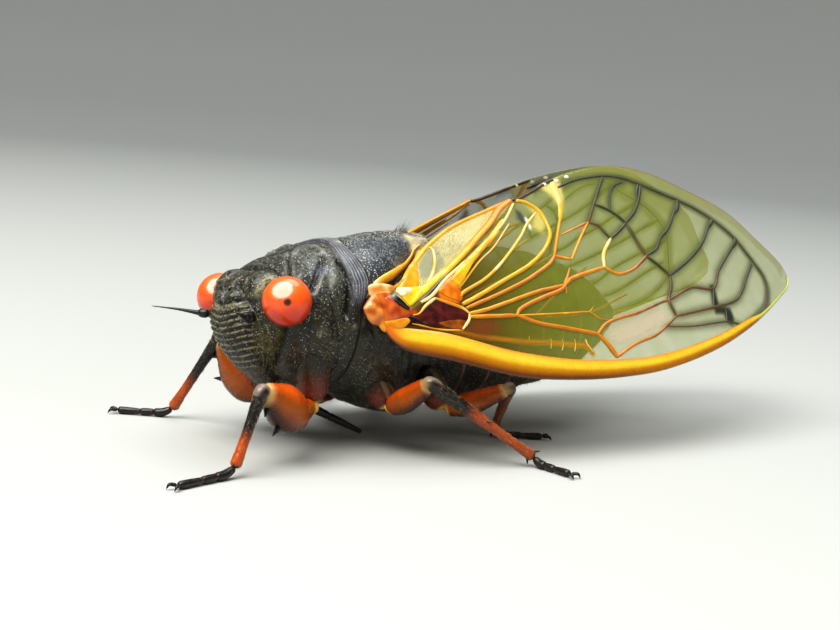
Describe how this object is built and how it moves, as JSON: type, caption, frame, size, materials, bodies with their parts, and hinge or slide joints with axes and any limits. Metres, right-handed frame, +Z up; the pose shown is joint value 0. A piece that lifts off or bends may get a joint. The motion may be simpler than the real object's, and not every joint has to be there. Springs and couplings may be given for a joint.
{
  "type": "cicada",
  "caption": "Life-size standing cicada with red eyes, black body, orange legs and clear orange-veined wings folded like a roof.",
  "frame": {"origin": "centre of the bounding box in plan, at the level of the six soles", "axes": "+X towards the insect's left, +Y from the head to the wing tips, +Z up"},
  "size_m": [0.026, 0.0514, 0.0173],
  "materials": {
    "black_cuticle": "satin black cuticle with fine pale hairs",
    "eye_lens": "glossy red",
    "thigh_cuticle": "orange cuticle",
    "shin_cuticle": "red-brown cuticle",
    "wing_membrane": "clear amber membrane with orange veins"
  },
  "bodies": {
    "root": {"abdomen": "black_cuticle", "antenna_L": "black_cuticle", "antenna_R": "black_cuticle", "coxa_fore_L": "black_cuticle", "coxa_fore_R": "black_cuticle", "coxa_hind_L": "black_cuticle", "coxa_hind_R": "black_cuticle", "coxa_mid_L": "black_cuticle", "coxa_mid_R": "black_cuticle", "eye_L": "eye_lens", "eye_R": "eye_lens", "femur_fore_L": "thigh_cuticle", "femur_fore_R": "thigh_cuticle", "femur_hind_L": "thigh_cuticle", "femur_hind_R": "thigh_cuticle", "femur_mid_L": "thigh_cuticle", "femur_mid_R": "thigh_cuticle", "forewing_L": "wing_membrane", "forewing_R": "wing_membrane", "head": "black_cuticle", "hindwing_L": "wing_membrane", "hindwing_R": "wing_membrane", "mesothorax": "black_cuticle", "prothorax": "black_cuticle", "rostrum": "black_cuticle", "tarsus_fore_L": "black_cuticle", "tarsus_fore_R": "black_cuticle", "tarsus_hind_L": "black_cuticle", "tarsus_hind_R": "black_cuticle", "tarsus_mid_L": "black_cuticle", "tarsus_mid_R": "black_cuticle", "tibia_fore_L": "shin_cuticle", "tibia_fore_R": "shin_cuticle", "tibia_hind_L": "shin_cuticle", "tibia_hind_R": "shin_cuticle", "tibia_mid_L": "shin_cuticle", "tibia_mid_R": "shin_cuticle"}
  },
  "joints": []
}
